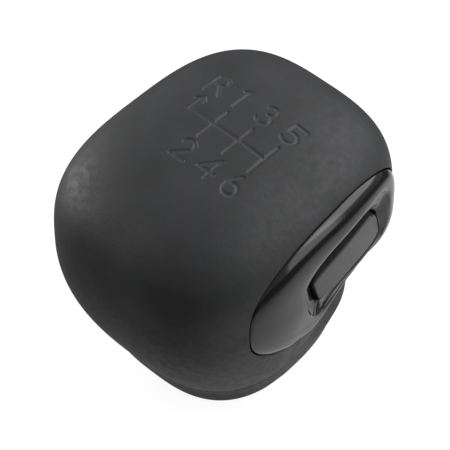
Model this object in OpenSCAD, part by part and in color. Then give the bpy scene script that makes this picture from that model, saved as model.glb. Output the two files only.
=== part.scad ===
// Gear shift knob with a side release button, millimetres, +Z up.
// The origin is the middle of the lever bore's mouth, level with the bottom of the neck.
// +Y is the front, the way the gate pattern reads, and +X is the side with the button.

/* [Head] */
// Width of the head from side to side
head_w = 60; // [56:1:66]
// Length of the head from front to back
head_l = 72.7; // [69:0.1:77]
// Height of the crown above the bottom of the neck
head_h = 61.8; // [60:0.1:64]
// Height of the widest level
widest_z = 35.7; // [35:0.1:36.5]
// Squareness of the head seen from above, where 2 is an ellipse
plan_square = 3.1; // [2.8:0.1:3.4]
// Squareness of the crown seen from above
crown_square = 2.4; // [2.2:0.1:2.8]
// Squareness of the crown's shoulder seen from the side
shoulder_square = 2.74; // [2.5:0.02:3]
// Flatness of the crown's top seen from the side
top_square = 3.4; // [3:0.1:3.8]

/* [Neck] */
// Width of the neck at the crease below the head
neck_w = 48.4; // [47:0.2:50]
// Length of the neck at the crease below the head
neck_l = 51.6; // [50:0.2:54]
// Height of the crease between neck and head
crease_z = 6.9; // [6.6:0.1:7.6]
// Size of the neck's mouth as a share of the crease
neck_taper = 0.93; // [0.92:0.01:1]
// Squareness of the neck seen from above
neck_square = 2.78; // [2.4:0.02:3]
// Depth of the relief in the flank below the button
relief_depth = 4.2; // [3.8:0.1:4.3]

/* [Walls] */
// Thickness of the soft skin
skin_t = 1.4; // [1:0.1:1.6]
// Bond line between skin and core
bond_gap = 0.2; // [0.1:0.05:0.3]
// Wall of the moulded core
core_t = 2.4; // [2:0.1:2.6]
// Height of the skin's lower edge above the neck's mouth
skin_hem = 0.5; // [0.3:0.1:1]

/* [Side bezel] */
// Front end of the bezel
bezel_front = -21.5; // [-22:0.1:-21]
// Rear end of the bezel
bezel_rear = 30; // [29.5:0.1:30.5]
// Lower edge of the bezel at its front end, below the widest level
bezel_drop = 14.5; // [14.1:0.1:14.8]
// Upper edge of the bezel at its rear end, as a share of the crown's rise
bezel_rise = 0.717; // [0.705:0.001:0.73]
// Gap between the bezel and the skin
bezel_gap = 0.25; // [0.15:0.05:0.4]
// Width of the bezel's flange on the core
flange_w = 1.5; // [1.2:0.1:1.8]
// Height of the bezel's crown above the skin
bezel_proud = 0.4; // [0.2:0.1:0.8]

/* [Button] */
// Depth of the button's face below the widest flank
button_depth = 3.6; // [3.4:0.1:3.9]
// Thickness of the button's cap as a share of the room between its face and the lifter
cap_share = 0.3; // [0.27:0.01:0.31]
// Travel of the button as a share of the same room
travel_share = 0.305; // [0.225:0.005:0.305]
// Front end of the button
button_front = 0.6; // [0.2:0.1:0.8]
// Rear end of the button
button_rear = 23.4; // [22.8:0.1:23.6]
// Rake of the button's two ends, back along Y for each step up
button_rake = 0.3; // [0.27:0.01:0.33]
// Lower edge of the button at its front end, as a share of the bezel's height
button_low_share = 0.079; // [0.076:0.001:0.082]
// Upper edge of the button at its front end, as the same share
button_high_front_share = 0.35; // [0.345:0.001:0.355]
// Upper edge of the button at its rear end, as the same share
button_high_rear_share = 0.558; // [0.55:0.001:0.565]
// Gap round the button
button_gap = 0.25; // [0.2:0.05:0.3]
// Lean of the button's face
button_lean = -2; // [-4:1:2]

/* [Lever seat] */
// Diameter of the lever that the bush takes
lever_d = 12; // [10:0.5:12.5]
// Length of the metal bush
bush_len = 20; // [17:0.5:20.5]
// Wall of the metal bush
bush_wall = 2; // [1.6:0.1:2]
// Wall of the lever socket
socket_wall = 2.45; // [2:0.05:2.6]
// Diameter of the socket's flange
flange_d = 26; // [24:0.5:26.5]

/* [Fasteners] */
// Shank diameter of the base screws
base_screw_d = 2.6; // [2:0.1:3]
// Shank diameter of the bezel screws
bezel_screw_d = 2; // [1.6:0.1:2.2]
// Width between the base screws
base_screw_w = 20; // [19.5:0.5:20.5]
// Length between the base screws
base_screw_l = 26.4; // [26:0.2:27.4]

/* [Springs] */
// Mean radius of the two button springs as a share of the button's height there
button_spring_share = 0.252; // [0.24:0.001:0.26]
// Mean radius of the lifter spring
lifter_spring_r = 4.4; // [4.2:0.1:5]
// Wire diameter of the springs
wire_d = 0.7; // [0.5:0.1:0.8]

/* [Hidden] */
$fn = 48;

// Facets round the body and round the side's outlines, each a multiple of 4
body_sides = 56;
bezel_sides = 56;
button_sides = 48;
// Power that shapes the flank between the crease and the widest level
flank_power = 0.77;
// Clearances between fixed pieces and between sliding pieces
seat_gap = 0.05;
run_gap = 0.1;
free_gap = 0.2;

// The core's outer and inner faces, as insets from the skin's outer face
core_out = skin_t + bond_gap;
core_in = core_out + core_t;

// Height of the bezel and of the button
bezel_low = widest_z - bezel_drop;
bezel_high = widest_z + bezel_rise * (head_h - widest_z);
bezel_h = bezel_high - bezel_low;
// The edges of bezel and button rise or fall from end to end by shares of the bezel's height
low_fall = 0.078;
high_fall = 0.115;
button_low_rise = 0.126;
button_low = bezel_low + button_low_share * bezel_h;
button_low_rear = button_low + button_low_rise * bezel_h;
button_high_front = bezel_low + button_high_front_share * bezel_h;
button_high_rear = bezel_low + button_high_rear_share * bezel_h;

// Radii from the lever outwards: bush, socket and lifter
bush_r = lever_d / 2 + bush_wall;
socket_bore_r = bush_r + seat_gap;
socket_r = socket_bore_r + socket_wall;
cup_wall = 1.8;
lifter_r = socket_r + run_gap + cup_wall;

// Room along X between the button's face and the lifter
button_x = head_w / 2 - button_depth;
lifter_room = 0.9;
guide_rear_x = lifter_r + lifter_room;
button_room = button_x - guide_rear_x;
cap_t = cap_share * button_room;
travel = travel_share * button_room;

// Clamps a value to 0..1 and eases it
function ease(v) = let (c = min(max(v, 0), 1)) c * c * (3 - 2 * c);
function mix(a, b, f) = a + (b - a) * f;
// Spreads even steps so that a squarish curve gets points of even spacing
function spread(u, k) = pow(u, k) / (pow(u, k) + pow(1 - u, k));
function signed_pow(v, e) = sign(v) * pow(abs(v), e);
// Angle of point i of m round a squarish ring
function ring_angle(i, m) =
    let (quarter = m / 4, k = floor(i / quarter), u = i / quarter - k)
    90 * (k + spread(u, 1.35));

// One level of the body as [z, half width, half length, squareness].
// q runs 0..1 up the neck, 1..2 up the flank and 2..3 over the crown.
function neck_level(q, inset) =
    let (s = mix(neck_taper, 1, q))
    [crease_z * q, neck_w / 2 * s - inset, neck_l / 2 * s - inset, neck_square];
function flank_level(q, inset) =
    let (w = pow(sin(90 * (q - 1)), flank_power))
    [mix(crease_z, widest_z, q - 1), mix(neck_w, head_w, w) / 2 - inset,
     mix(neck_l, head_l, w) / 2 - inset, mix(neck_square, plan_square, w)];
function crown_level(q, inset) =
    let (p = 90 * spread(q - 2, 1.4), r = pow(max(cos(p), 0), 2 / shoulder_square))
    [widest_z + (head_h - widest_z - inset) * pow(sin(p), 2 / top_square),
     (head_w / 2 - inset) * r, (head_l / 2 - inset) * r, mix(crown_square, plan_square, r)];
function level(q, inset) =
    q < 1 ? neck_level(q, inset) : q < 2 ? flank_level(q, inset) : crown_level(q, inset);
// Step q on the neck or flank at a height
function step_at(z) = z < crease_z ? z / crease_z : 1 + (z - crease_z) / (widest_z - crease_z);

// The relief in the +X side, as a depth taken off it. A shallow step starts it at the front. It is
// shallower down the neck and fades out up the bezel's lower half.
relief_step_y = -11;
relief_step_run = 5;
relief_step_share = 0.12;
relief_front_y = -5;
relief_front_run = 20;
relief_rear_y = 31;
relief_rear_run = 12;
relief_foot_run = 5;
relief_neck_share = 0.25;
relief_top_z = widest_z - 1.7;
relief_top_run = 16;
function relief(y, z) =
    relief_depth * mix(ease((y - relief_front_y) / relief_front_run),
        ease((y - relief_step_y) / relief_step_run), relief_step_share)
    * mix(relief_neck_share, 1, ease((z - crease_z - 0.5) / relief_foot_run))
    * ease((relief_rear_y - y) / relief_rear_run) * ease((relief_top_z - z) / relief_top_run);

// A level's point at an angle. The relief follows the outer face, so every face gets the same.
function level_point(l, t) =
    [l[1] * signed_pow(cos(t), 2 / l[3]), l[2] * signed_pow(sin(t), 2 / l[3])];
function body_point(l, outer, t) =
    let (p = level_point(l, t), o = level_point(outer, t))
    [p[0] - (o[0] > 0 ? relief(o[1], outer[0]) : 0), p[1], l[0]];
function body_ring(q, inset) =
    let (l = level(q, inset), outer = level(q, 0))
    [for (i = [0:body_sides - 1]) body_point(l, outer, ring_angle(i, body_sides))];
// A level's outline, flat, for plates that lie inside the body
function level_outline(z, inset) = [for (p = body_ring(step_at(z), inset)) [p[0], p[1]]];

// Outer x of the body at a place on its +X side
function crown_scale(z, inset) =
    pow(max(1 - pow((z - widest_z) / (head_h - widest_z - inset), top_square), 0), 1 / shoulder_square);
function level_at(z, inset) =
    z <= widest_z ? level(min(step_at(z), 1.9999), inset) :
    let (r = crown_scale(z, inset))
    [z, (head_w / 2 - inset) * r, (head_l / 2 - inset) * r, mix(crown_square, plan_square, r)];
function side_x(y, z, inset) =
    let (l = level_at(z, inset))
    l[1] * pow(max(1 - pow(abs(y) / l[2], l[3]), 0), 1 / l[3]) - relief(y, z);
// Height of the crown above a place on one of its middle lines
function crown_z(along, half, inset) =
    widest_z + (head_h - widest_z - inset)
    * pow(max(1 - pow(abs(along) / (half - inset), shoulder_square), 0), 1 / top_square);

// A closed solid through rings of equal count. A loft from ring to ring closes with
// flat ends, and a looped one joins its last ring to its first.
function band(a, b, m) =
    [for (i = [0:m - 1]) each let (j = (i + 1) % m)
        [[a * m + i, b * m + i, b * m + j], [a * m + i, b * m + j, a * m + j]]];
// The same faces seen from the other side, so that an inner face folds as an outer one does
function turned(faces) = [for (f = faces) [f[0], f[2], f[1]]];
module looped_loft(rings) {
    m = len(rings[0]);
    n = len(rings);
    polyhedron(points = [for (r = rings) each r],
        faces = [for (k = [0:n - 1]) each band(k, (k + 1) % n, m)]);
}
// A closed tube along rings, with a fan at each end
module capped_loft(rings) {
    m = len(rings[0]);
    n = len(rings);
    polyhedron(points = [for (r = rings) each r],
        faces = concat(
            [for (k = [0:n - 2]) each band(k, k + 1, m)],
            [[for (i = [0:m - 1]) i]],
            [[for (i = [m - 1:-1:0]) (n - 1) * m + i]]));
}
// A dome shell: the outer rings rise to a crown point, the inner ones lie below another
module dome_shell(outer, inner, outer_top, inner_top) {
    m = len(outer[0]);
    a = len(outer);
    b = len(inner);
    crown = (a + b) * m;
    polyhedron(points = concat([for (r = outer) each r], [for (r = inner) each r],
            [[0, 0, outer_top], [0, 0, inner_top]]),
        faces = concat(
            [for (k = [0:a - 2]) each band(k, k + 1, m)],
            [for (k = [0:b - 2]) each turned(band(a + k, a + k + 1, m))],
            band(a, 0, m),
            [for (i = [0:m - 1]) [(a - 1) * m + (i + 1) % m, (a - 1) * m + i, crown]],
            [for (i = [0:m - 1])
                [(a + b - 1) * m + i, (a + b - 1) * m + (i + 1) % m, crown + 1]]));
}

// A squarish outline on the knob's side, in Y and Z, whose ends can differ in height and shape
// and can lean: [front y, rear y, low z front, low z rear, high z front, high z rear,
// squareness front, squareness rear, lean]
function side_point(o, t) =
    let (square = cos(t) < 0 ? o[6] : o[7],
        y = mix(o[0], o[1], 0.5) + (o[1] - o[0]) / 2 * signed_pow(cos(t), 2 / square),
        f = (y - o[0]) / (o[1] - o[0]), low = mix(o[2], o[3], f), high = mix(o[4], o[5], f),
        z = mix(low, high, 0.5) + (high - low) / 2 * signed_pow(sin(t), 2 / square))
    [y - o[8] * (z - (o[2] + o[3] + o[4] + o[5]) / 4), z];
function side_ring(o, m) = [for (i = [0:m - 1]) side_point(o, ring_angle(i, m))];
function grown(o, d) =
    [o[0] - d, o[1] + d, o[2] - d, o[3] - d, o[4] + d, o[5] + d, o[6], o[7], o[8]];

bezel_edge = [bezel_front, bezel_rear, bezel_low, bezel_low - low_fall * bezel_h,
    bezel_high - high_fall * bezel_h, bezel_high, 2.9, 2.4, 0];
// The cup's edge lies in from the bezel's ends and lower edge, at a share of its height
cup_front_in = 13.9;
cup_rear_in = 5.2;
cup_low_share = [0.07, 0.05];
cup_high_share = [0.732, 0.822];
cup_edge = [bezel_front + cup_front_in, bezel_rear - cup_rear_in,
    bezel_low + cup_low_share[0] * bezel_h, bezel_low + cup_low_share[1] * bezel_h,
    bezel_low + cup_high_share[0] * bezel_h, bezel_low + cup_high_share[1] * bezel_h, 3, 3.5, 0];
button_edge = [button_front, button_rear, button_low, button_low_rear,
    button_high_front, button_high_rear, 6, 3.5, button_rake];
button_hole = grown(button_edge, button_gap);
core_window = grown(bezel_edge, -flange_w);
bezel_waist = grown(core_window, -bezel_gap);

// Extrudes a side outline from one x to another
module side_prism(o, x0, x1, m = bezel_sides) {
    translate([x0, 0, 0]) rotate([90, 0, 90])
        linear_extrude(x1 - x0) polygon(side_ring(o, m));
}

// The button's crowned face
crown_r = 160;
crown_y = 6;
face_z = mix(button_low, button_high_front, 2 / 3);
function button_face_x(y, z) =
    button_x - tan(button_lean) * (z - face_z)
    - (crown_r - sqrt(crown_r * crown_r - (y - crown_y) * (y - crown_y)));

// Places along X, from the button inwards
button_back_x = button_x - cap_t;
skirt_t = 1.4;
skirt_len = 0.21 * button_room;
skirt_x = button_back_x - skirt_len;
guide_back_gap = 0.5;
guide_front_x = button_back_x - guide_back_gap;
buffer_t = 0.06 * button_room;
// How far one shape runs into another that it is part of, and past one that it cuts
weld = 0.5;
cut = 1;
// Inner end of the cutters for the side window
window_x = head_w / 8;
guide_floor_x = skirt_x - travel - buffer_t - free_gap;
guide_wall = 1.5;

// Soft skin over head and neck
// Steps at which the body's faces have their rings
core_flank_steps = [for (i = [0:6]) 1 + i / 7];
core_crown_steps = [for (i = [0:7]) 2 + i / 8.4];
skin_neck_steps = [step_at(skin_hem), 0.5];
skin_outer_steps = concat(skin_neck_steps, [for (i = [0:9]) 1 + i / 10], [for (i = [0:10]) 2 + i / 11.4]);
skin_inner_steps = concat([step_at(skin_hem)], core_flank_steps, core_crown_steps);
module grip_skin() {
    color("#3b3c3e") difference() {
        dome_shell([for (q = skin_outer_steps) body_ring(q, 0)],
            [for (q = skin_inner_steps) body_ring(q, skin_t)],
            head_h, head_h - skin_t);
        side_prism(grown(bezel_edge, bezel_gap), window_x, head_w);
    }
}

// Two halves of the moulded core, parted at the widest level
lap_h = 2.5;
lap_t = 1.4;
floor_z = 5.4;
floor_t = 2;
collar_h = 7;
boss_r = 2.9;
boss_top_z = 15;
boss_roof = 2;
rib_t = 1.6;
rib_share = 0.593;
rib_z = widest_z + rib_share * (head_h - widest_z);
rib_end_gap = 5;
rib_steps = 12;
post_r = 6.5;

module core_lower_wall() {
    steps = concat([0], core_flank_steps, [2]);
    looped_loft(concat([for (q = steps) body_ring(q, core_out)],
        [for (i = [len(steps) - 1:-1:0]) body_ring(steps[i], core_in)]));
}

module at_base_screws() {
    for (sx = [-1, 1]) for (sy = [-1, 1])
        translate([sx * base_screw_w / 2, sy * base_screw_l / 2, 0]) children();
}

module core_floor() {
    translate([0, 0, floor_z]) linear_extrude(floor_t)
        polygon(level_outline(floor_z, core_in - core_t / 2));
    translate([0, 0, floor_z]) cylinder(r = collar_out, h = floor_t + collar_h);
    at_base_screws() translate([0, 0, plate_top_z + seat_gap])
        cylinder(r = boss_r, h = boss_top_z - plate_top_z);
}

module core_lower() {
    color("#2b2c2e") difference() {
        union() {
            core_lower_wall();
            core_floor();
        }
        side_prism(core_window, window_x, head_w);
        translate([0, 0, floor_z - cut])
            cylinder(r = socket_r + run_gap, h = floor_t + collar_h + 2 * cut);
        at_base_screws() cylinder(d = base_screw_d + run_gap, h = boss_top_z - boss_roof);
    }
}

module crown_rib(half) {
    reach = half - core_out - rib_end_gap;
    rotate([90, 0, 0]) translate([0, 0, -rib_t / 2]) linear_extrude(rib_t)
        polygon(concat([[-reach, rib_z], [reach, rib_z]],
            [for (i = [0:rib_steps]) let (x = reach * (1 - 2 * i / rib_steps))
                [x, crown_z(x, half, core_out + core_t / 2)]]));
}

module core_lap() {
    translate([0, 0, widest_z]) linear_extrude(lap_t) difference() {
        polygon(level_outline(widest_z, core_in - core_t / 3));
        polygon(level_outline(widest_z, core_in + lap_t));
    }
    translate([0, 0, widest_z - lap_h]) linear_extrude(lap_h) difference() {
        polygon(level_outline(widest_z - lap_h, core_in + free_gap));
        polygon(level_outline(widest_z, core_in + lap_t));
    }
}

module core_upper() {
    color("#2b2c2e") union() {
        difference() {
            union() {
                dome_shell([for (q = core_crown_steps) body_ring(q, core_out)],
                    [for (q = core_crown_steps) body_ring(q, core_in)],
                    head_h - core_out, head_h - core_in);
                core_lap();
            }
            side_prism(core_window, window_x, head_w);
        }
        crown_rib(head_w / 2);
        rotate([0, 0, 90]) crown_rib(head_l / 2);
        translate([0, 0, rib_z]) cylinder(r = post_r, h = head_h - core_out - core_t / 2 - rib_z);
        translate([0, 0, rib_z - pilot_h]) cylinder(r = pilot_r, h = pilot_h + cut);
    }
}

// Gloss bezel with a finger cup, lofted from its rim over the lip and down to the button.
// Each lip ring is a share of the way from the bezel's edge to the cup's, and stands proud
// by a share of the crown. Each cup ring is a share of the way on to the button's hole, at
// a share of the depth, and stands off the button's face.
lip_share = [0.06, 0.2, 0.45, 0.7, 0.88];
lip_rise = [0.1, 0.6, 1, 0.9, 0.55];
cup_share = [0.12, 0.4, 0.8, 1];
cup_depth = [0.3, 0.72, 0.95, 1];
cup_rise = [0.6, 0.6, 0.5, 0.2];
function on_skin(o, rise) =
    [for (p = side_ring(o, bezel_sides)) [side_x(p[0], p[1], 0) + rise, p[0], p[1]]];
function on_core(o, rise) =
    [for (p = side_ring(o, bezel_sides)) [side_x(p[0], p[1], core_out) + rise, p[0], p[1]]];
function in_cup(o, f, drop) =
    [for (p = side_ring(o, bezel_sides))
        [mix(side_x(p[0], p[1], 0), button_face_x(p[0], p[1]) + drop, f), p[0], p[1]]];
// The bezel's back stays clear of the guide behind it
function no_deeper(ring) = [for (p = ring) [max(p[0], guide_front_x + free_gap), p[1], p[2]]];
rim_back = 0.5;
rim_round = 0.45;
rim_draft = 0.15;
cup_rim_drop = 0.1;
hole_land = 2.2;
hole_wall = 1;
boss_z = [(button_low + button_high_front) / 2, button_high_rear - 1];
bezel_boss_r = 2.3;
boss_front_in = 11.5;
boss_rear_in = 4.6;
boss_end_wall = 1.8;
// A boss for a bezel screw as [y, z, length], which ends below the bezel's face
function bezel_boss(y, z) = [y, z, side_x(y, z, 0) - guide_front_x - boss_end_wall];
bezel_boss_places = [bezel_boss(bezel_front + boss_front_in, boss_z[0]),
    bezel_boss(bezel_rear - boss_rear_in, boss_z[1])];

module bezel_shell() {
    looped_loft([
        on_core(grown(bezel_edge, -rim_draft), rim_back),
        on_skin(bezel_edge, -rim_round),
        for (i = [0:4]) on_skin(mix(bezel_edge, cup_edge, lip_share[i]), bezel_proud * lip_rise[i]),
        on_skin(cup_edge, -cup_rim_drop),
        for (i = [0:3]) in_cup(mix(cup_edge, button_hole, cup_share[i]), cup_depth[i], cup_rise[i]),
        no_deeper(in_cup(button_hole, 1, -hole_land)),
        no_deeper(in_cup(grown(button_hole, hole_wall), 1, -hole_land)),
        no_deeper(on_core(bezel_waist, -core_t / 2)),
        on_core(bezel_waist, rim_back)
    ]);
}

module side_bezel() {
    color("#17181a") difference() {
        union() {
            bezel_shell();
            for (p = bezel_boss_places) translate([guide_front_x + seat_gap, p[0], p[1]])
                rotate([0, 90, 0]) cylinder(r = bezel_boss_r, h = p[2]);
        }
        for (p = bezel_boss_places) translate([guide_front_x - cut, p[0], p[1]])
            rotate([0, 90, 0]) cylinder(d = bezel_screw_d + run_gap, h = p[2]);
    }
}

// Push button: a crowned cap with a skirt, two spring pins and the wedge arm
arm_half_w = 2.2;
arm_inset = [0.8, 1];
arm_end_gap = 1.2;
arm_y = button_front + skirt_t + arm_half_w + arm_end_gap;
arm_low_z = button_low + arm_inset[0];
arm_high_z = button_high_front - arm_inset[1];
wedge_tip_x = 8;
spring_inset = [10.4, 5.5];
spring_y = [button_front + spring_inset[0], button_rear - spring_inset[1]];
// Heights of the button's lower and upper edges at a place along it
function button_ends(y) =
    let (f = (y - button_front) / (button_rear - button_front))
    [mix(button_low, button_low_rear, f), mix(button_high_front, button_high_rear, f)];
spring_z = [for (y = spring_y) let (e = button_ends(y)) (e[0] + e[1]) / 2];
button_spring_r = button_spring_share * (button_ends(spring_y[0])[1] - button_ends(spring_y[0])[0]);
pin_gap = 0.3;
pin_r = button_spring_r - wire_d / 2 - pin_gap;
pin_len = 1.4;

module button_cap() {
    intersection() {
        side_prism(button_edge, button_back_x, head_w / 2, button_sides);
        translate([button_x, crown_y, face_z]) rotate([0, -button_lean, 0])
            translate([-crown_r, 0, 0]) cylinder(r = crown_r, h = head_h, center = true, $fn = 180);
    }
}

module wedge_arm() {
    rotate([90, 0, 0]) translate([0, 0, -arm_y - arm_half_w]) linear_extrude(2 * arm_half_w)
        polygon([[wedge_tip_x, arm_low_z], [button_back_x + weld, arm_low_z],
            [button_back_x + weld, arm_high_z],
            [wedge_tip_x + arm_high_z - arm_low_z, arm_high_z]]);
}

module release_button() {
    color("#1d1e20") union() {
        button_cap();
        difference() {
            side_prism(button_edge, skirt_x, button_back_x + weld, button_sides);
            side_prism(grown(button_edge, -skirt_t), skirt_x - cut, button_back_x, button_sides);
        }
        wedge_arm();
        for (i = [0, 1]) translate([button_back_x - pin_len, spring_y[i], spring_z[i]])
            rotate([0, 90, 0]) cylinder(r = pin_r, h = pin_len + weld);
    }
}

// Guide box behind the bezel, open at the front, with two ears for the bezel screws
ear_h = 0.17 * bezel_h;
ear_end = 2;
ear_root = 5;
module guide_ear(y0, y1, z) {
    translate([guide_front_x - guide_wall, y0, z - ear_h / 2]) cube([guide_wall, y1 - y0, ear_h]);
}

module guide_body() {
    pocket = grown(button_edge, button_gap);
    places = bezel_boss_places;
    difference() {
        union() {
            side_prism(grown(pocket, guide_wall), guide_rear_x, guide_front_x, button_sides);
            guide_ear(places[0][0] - ear_end, button_front + ear_root, places[0][1]);
            guide_ear(button_rear - ear_root, places[1][0] + ear_end, places[1][1]);
        }
        side_prism(pocket, guide_floor_x, guide_front_x + cut, button_sides);
    }
}

module button_guide() {
    color("#35363a") difference() {
        union() {
            guide_body();
            for (i = [0, 1]) translate([guide_floor_x - weld, spring_y[i], spring_z[i]])
                rotate([0, 90, 0]) cylinder(r = pin_r, h = pin_len + weld);
        }
        translate([guide_rear_x - cut, arm_y - arm_half_w - free_gap, arm_low_z - free_gap])
            cube([guide_floor_x - guide_rear_x + 2 * cut, 2 * (arm_half_w + free_gap),
                arm_high_z - arm_low_z + 2 * free_gap]);
        for (p = bezel_boss_places) translate([guide_front_x - guide_wall - cut, p[0], p[1]])
            rotate([0, 90, 0]) cylinder(d = bezel_screw_d + free_gap, h = guide_wall + 2 * cut);
    }
}

// Rubber frame on the guide's floor, where the skirt lands
module stop_buffer() {
    color("#101010") difference() {
        side_prism(grown(button_edge, -free_gap), guide_floor_x, guide_floor_x + buffer_t, button_sides);
        side_prism(grown(button_edge, -skirt_t - free_gap), guide_floor_x - cut,
            guide_floor_x + buffer_t + cut, button_sides);
        translate([guide_floor_x - cut, button_front - cut, arm_low_z - 3 * free_gap])
            cube([buffer_t + 2 * cut, arm_y + arm_half_w - button_front + cut + 3 * free_gap,
                arm_high_z - arm_low_z + 6 * free_gap]);
    }
}

// A coil of round wire along Z, as one tube
coil_steps = 10;
function coil_ring(r, pitch, wire, a) =
    [for (k = [0:5]) let (c = r + wire / 2 * cos(60 * k), z = pitch * a / 360 - wire / 2 * sin(60 * k))
        [c * cos(a), c * sin(a), z]];
module coil(r, length, turns, wire = wire_d) {
    pitch = (length - wire) / turns;
    translate([0, 0, wire / 2])
        capped_loft([for (i = [0:turns * coil_steps]) coil_ring(r, pitch, wire, 360 * i / coil_steps)]);
}

module button_spring(i) {
    color("silver") translate([guide_floor_x + seat_gap, spring_y[i], spring_z[i]]) rotate([0, 90, 0])
        coil(button_spring_r, button_back_x - guide_floor_x - 2 * seat_gap, 4);
}

// Lever seat: moulded socket, metal bush, spring clip and anti-rattle ring
neck_bore_r = bush_r - 1;
collar_wall = 1.8;
collar_out = socket_r + run_gap + collar_wall;
plate_low_z = 0.8;
plate_top_z = 3;
flange_t = floor_z - plate_top_z - 2 * seat_gap;
tower_roof = 1.3;
tower_z = arm_high_z + tower_roof;
clip_t = 1;
clip_z = bush_len + 2 * seat_gap;
clip_w = 1.65;
clip_in = lever_d / 2 + seat_gap;
clip_reach = socket_r - clip_t;
ring_minor = 0.75;
ring_rise = 1.9;
ring_z = clip_z + clip_t + ring_rise;
ring_gap = 0.15;
ring_mean = lever_d / 2 + ring_minor + ring_gap;
// Grooves round the bush that the socket's plastic grips
bush_groove = 0.5;
bush_groove_w = 1.5;
bush_groove_z = bush_len / 4;

module lever_socket() {
    color("#34363a") difference() {
        rotate_extrude() polygon([
            [socket_bore_r, 0], [socket_r, 0], [socket_r, plate_top_z + seat_gap],
            [flange_d / 2, plate_top_z + seat_gap],
            [flange_d / 2, plate_top_z + seat_gap + flange_t],
            [socket_r, plate_top_z + seat_gap + flange_t],
            [socket_r, tower_z], [neck_bore_r, tower_z], [neck_bore_r, clip_z - seat_gap],
            [socket_bore_r, clip_z - seat_gap]
        ]);
        for (s = [-1, 1]) translate([s * (clip_in + clip_w / 2), 0, clip_z + clip_t / 2])
            cube([clip_w + 2 * free_gap, 2 * (socket_r + cut), clip_t + 2 * run_gap], center = true);
        translate([0, arm_y - arm_half_w - free_gap, arm_low_z - free_gap])
            cube([socket_r + cut, 2 * (arm_half_w + free_gap), tower_z]);
        translate([0, 0, ring_z - ring_minor - run_gap])
            cylinder(r = ring_mean + ring_minor + run_gap, h = 2 * (ring_minor + run_gap));
    }
}

module lever_bush() {
    low = bush_groove_z;
    high = bush_len - bush_groove_z;
    waist = bush_r - bush_groove;
    color("#a9abb0") rotate_extrude() polygon([
        [lever_d / 2, 0], [waist, 0], [bush_r, bush_groove],
        [bush_r, low], [waist, low], [waist, low + bush_groove_w], [bush_r, low + bush_groove_w],
        [bush_r, high - bush_groove_w], [waist, high - bush_groove_w],
        [waist, high], [bush_r, high], [bush_r, bush_len], [lever_d / 2, bush_len]
    ]);
}

module lever_clip() {
    color("#8d9096") translate([0, 0, clip_z]) linear_extrude(clip_t) {
        for (s = [-1, 1]) translate([s * (clip_in + clip_w / 2), (socket_r + cut - clip_reach) / 2])
            square([clip_w, clip_reach + socket_r + cut], center = true);
        translate([0, socket_r + cut]) difference() {
            circle(r = clip_in + clip_w);
            circle(r = clip_in);
            translate([-clip_in - clip_w, -clip_in - clip_w])
                square([2 * (clip_in + clip_w), clip_in + clip_w]);
        }
    }
}

module anti_rattle_ring() {
    color("#141414") translate([0, 0, ring_z]) rotate_extrude()
        translate([ring_mean, 0]) circle(r = ring_minor);
}

// Lifter: a cup over the tower that the wedge raises, with a hook for the lever's rod
lifter_rise = 1.4;
cup_low_z = clip_z + clip_t + lifter_rise;
disc_t = 2.4;
disc_gap = 0.3;
disc_low_z = tower_z + disc_gap;
disc_top_z = disc_low_z + disc_t;
follower_in_x = 6;
follower_out_x = guide_rear_x - free_gap;
pilot_h = 2.5;
pilot_r = 3.4;
rod_slot = 3.2;

module lifter_cup() {
    difference() {
        translate([0, 0, cup_low_z]) cylinder(r = lifter_r, h = disc_top_z - cup_low_z);
        translate([0, 0, cup_low_z - cut]) cylinder(r = socket_r + run_gap, h = disc_low_z - cup_low_z + cut);
        translate([0, arm_y - arm_half_w - free_gap, cup_low_z - cut])
            cube([collar_out + cut, 2 * (arm_half_w + free_gap), disc_low_z - cup_low_z + cut]);
    }
}

module lifter_follower() {
    low = arm_low_z + run_gap;
    rotate([90, 0, 0]) translate([0, 0, -arm_y - arm_half_w]) linear_extrude(2 * arm_half_w)
        polygon([[follower_in_x, low], [wedge_tip_x, low],
            [follower_out_x, low + follower_out_x - wedge_tip_x],
            [follower_out_x, disc_top_z], [follower_in_x, disc_top_z]]);
}

module lifter() {
    color("#c9c5b8") difference() {
        union() {
            lifter_cup();
            lifter_follower();
            translate([0, 0, disc_top_z - weld]) cylinder(r = pilot_r, h = pilot_h + weld);
        }
        translate([-socket_r, -rod_slot / 2, disc_low_z - cut])
            cube([socket_r, rod_slot, disc_t / 2 + cut]);
        translate([0, 0, disc_low_z - cut]) cylinder(d = rod_slot, h = disc_t + pilot_h + 2 * cut);
    }
}

module lifter_spring() {
    color("silver") translate([0, 0, disc_top_z + seat_gap])
        coil(lifter_spring_r, rib_z - disc_top_z - 2 * seat_gap, 6);
}

// Base plate that closes the neck, and its four screws
head_r = 2.4;
head_t = 1;
bezel_head_r = 1.9;
bezel_head_t = 1.2;
drive_r = 1.2;
module base_plate() {
    color("#222326") difference() {
        translate([0, 0, plate_low_z]) linear_extrude(plate_top_z - plate_low_z)
            polygon(level_outline(plate_low_z, core_in + free_gap));
        cylinder(r = socket_r + run_gap, h = floor_z);
        at_base_screws() {
            cylinder(d = base_screw_d + free_gap, h = floor_z);
            cylinder(r = head_r + free_gap, h = plate_low_z + head_t + seat_gap);
        }
    }
}

// A screw along +Z with the underside of its head at 0 and a hexagonal recess
module screw(shank_d, length, top_r, top_t, recess_r) {
    difference() {
        union() {
            translate([0, 0, -top_t]) cylinder(r = top_r, h = top_t);
            cylinder(d = shank_d, h = length);
        }
        translate([0, 0, -top_t - cut]) cylinder(r = recess_r, h = cut + top_t / 2, $fn = 6);
    }
}

module base_screw(sx, sy) {
    color("#c8b36a")
        translate([sx * base_screw_w / 2, sy * base_screw_l / 2, plate_low_z + head_t])
        screw(base_screw_d, boss_top_z - plate_low_z - head_t - boss_roof - cut, head_r, head_t, drive_r);
}

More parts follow.
